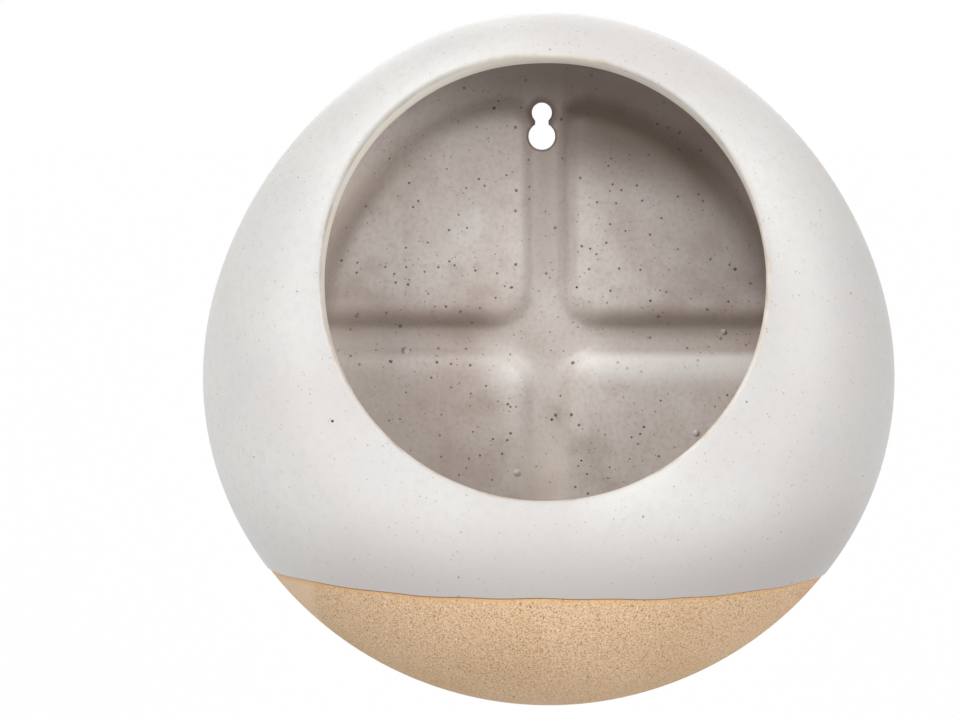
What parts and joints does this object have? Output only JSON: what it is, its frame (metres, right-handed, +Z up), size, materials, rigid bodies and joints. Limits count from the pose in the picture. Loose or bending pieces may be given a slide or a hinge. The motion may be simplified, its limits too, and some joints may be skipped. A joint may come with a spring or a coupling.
{
  "type": "hanging wall vase",
  "caption": "Round stoneware wall vase with a tilted round mouth, white glaze dipped down to a bare clay foot, and a keyhole in its ribbed back.",
  "frame": {"origin": "centre of the keyhole's upper, smaller circle in the plane of the wall, where the wall screw carries the vase", "axes": "+Y into the wall, so the vase's front faces -Y; +Z up; +X to the right of someone facing the vase"},
  "size_m": [0.2032, 0.077, 0.2027],
  "materials": {
    "bare_stoneware": "bare speckled stoneware, matt and slightly sandy",
    "white_glaze": "satin off-white glaze with fine dark specks",
    "liner_glaze": "satin grey-mauve glaze with dark specks and small pits"
  },
  "bodies": {
    "root": {"front_dome": "bare_stoneware", "back_dish": "bare_stoneware", "outer_glaze": "white_glaze", "inner_glaze": "liner_glaze", "pocket_glaze": "white_glaze"}
  },
  "joints": []
}
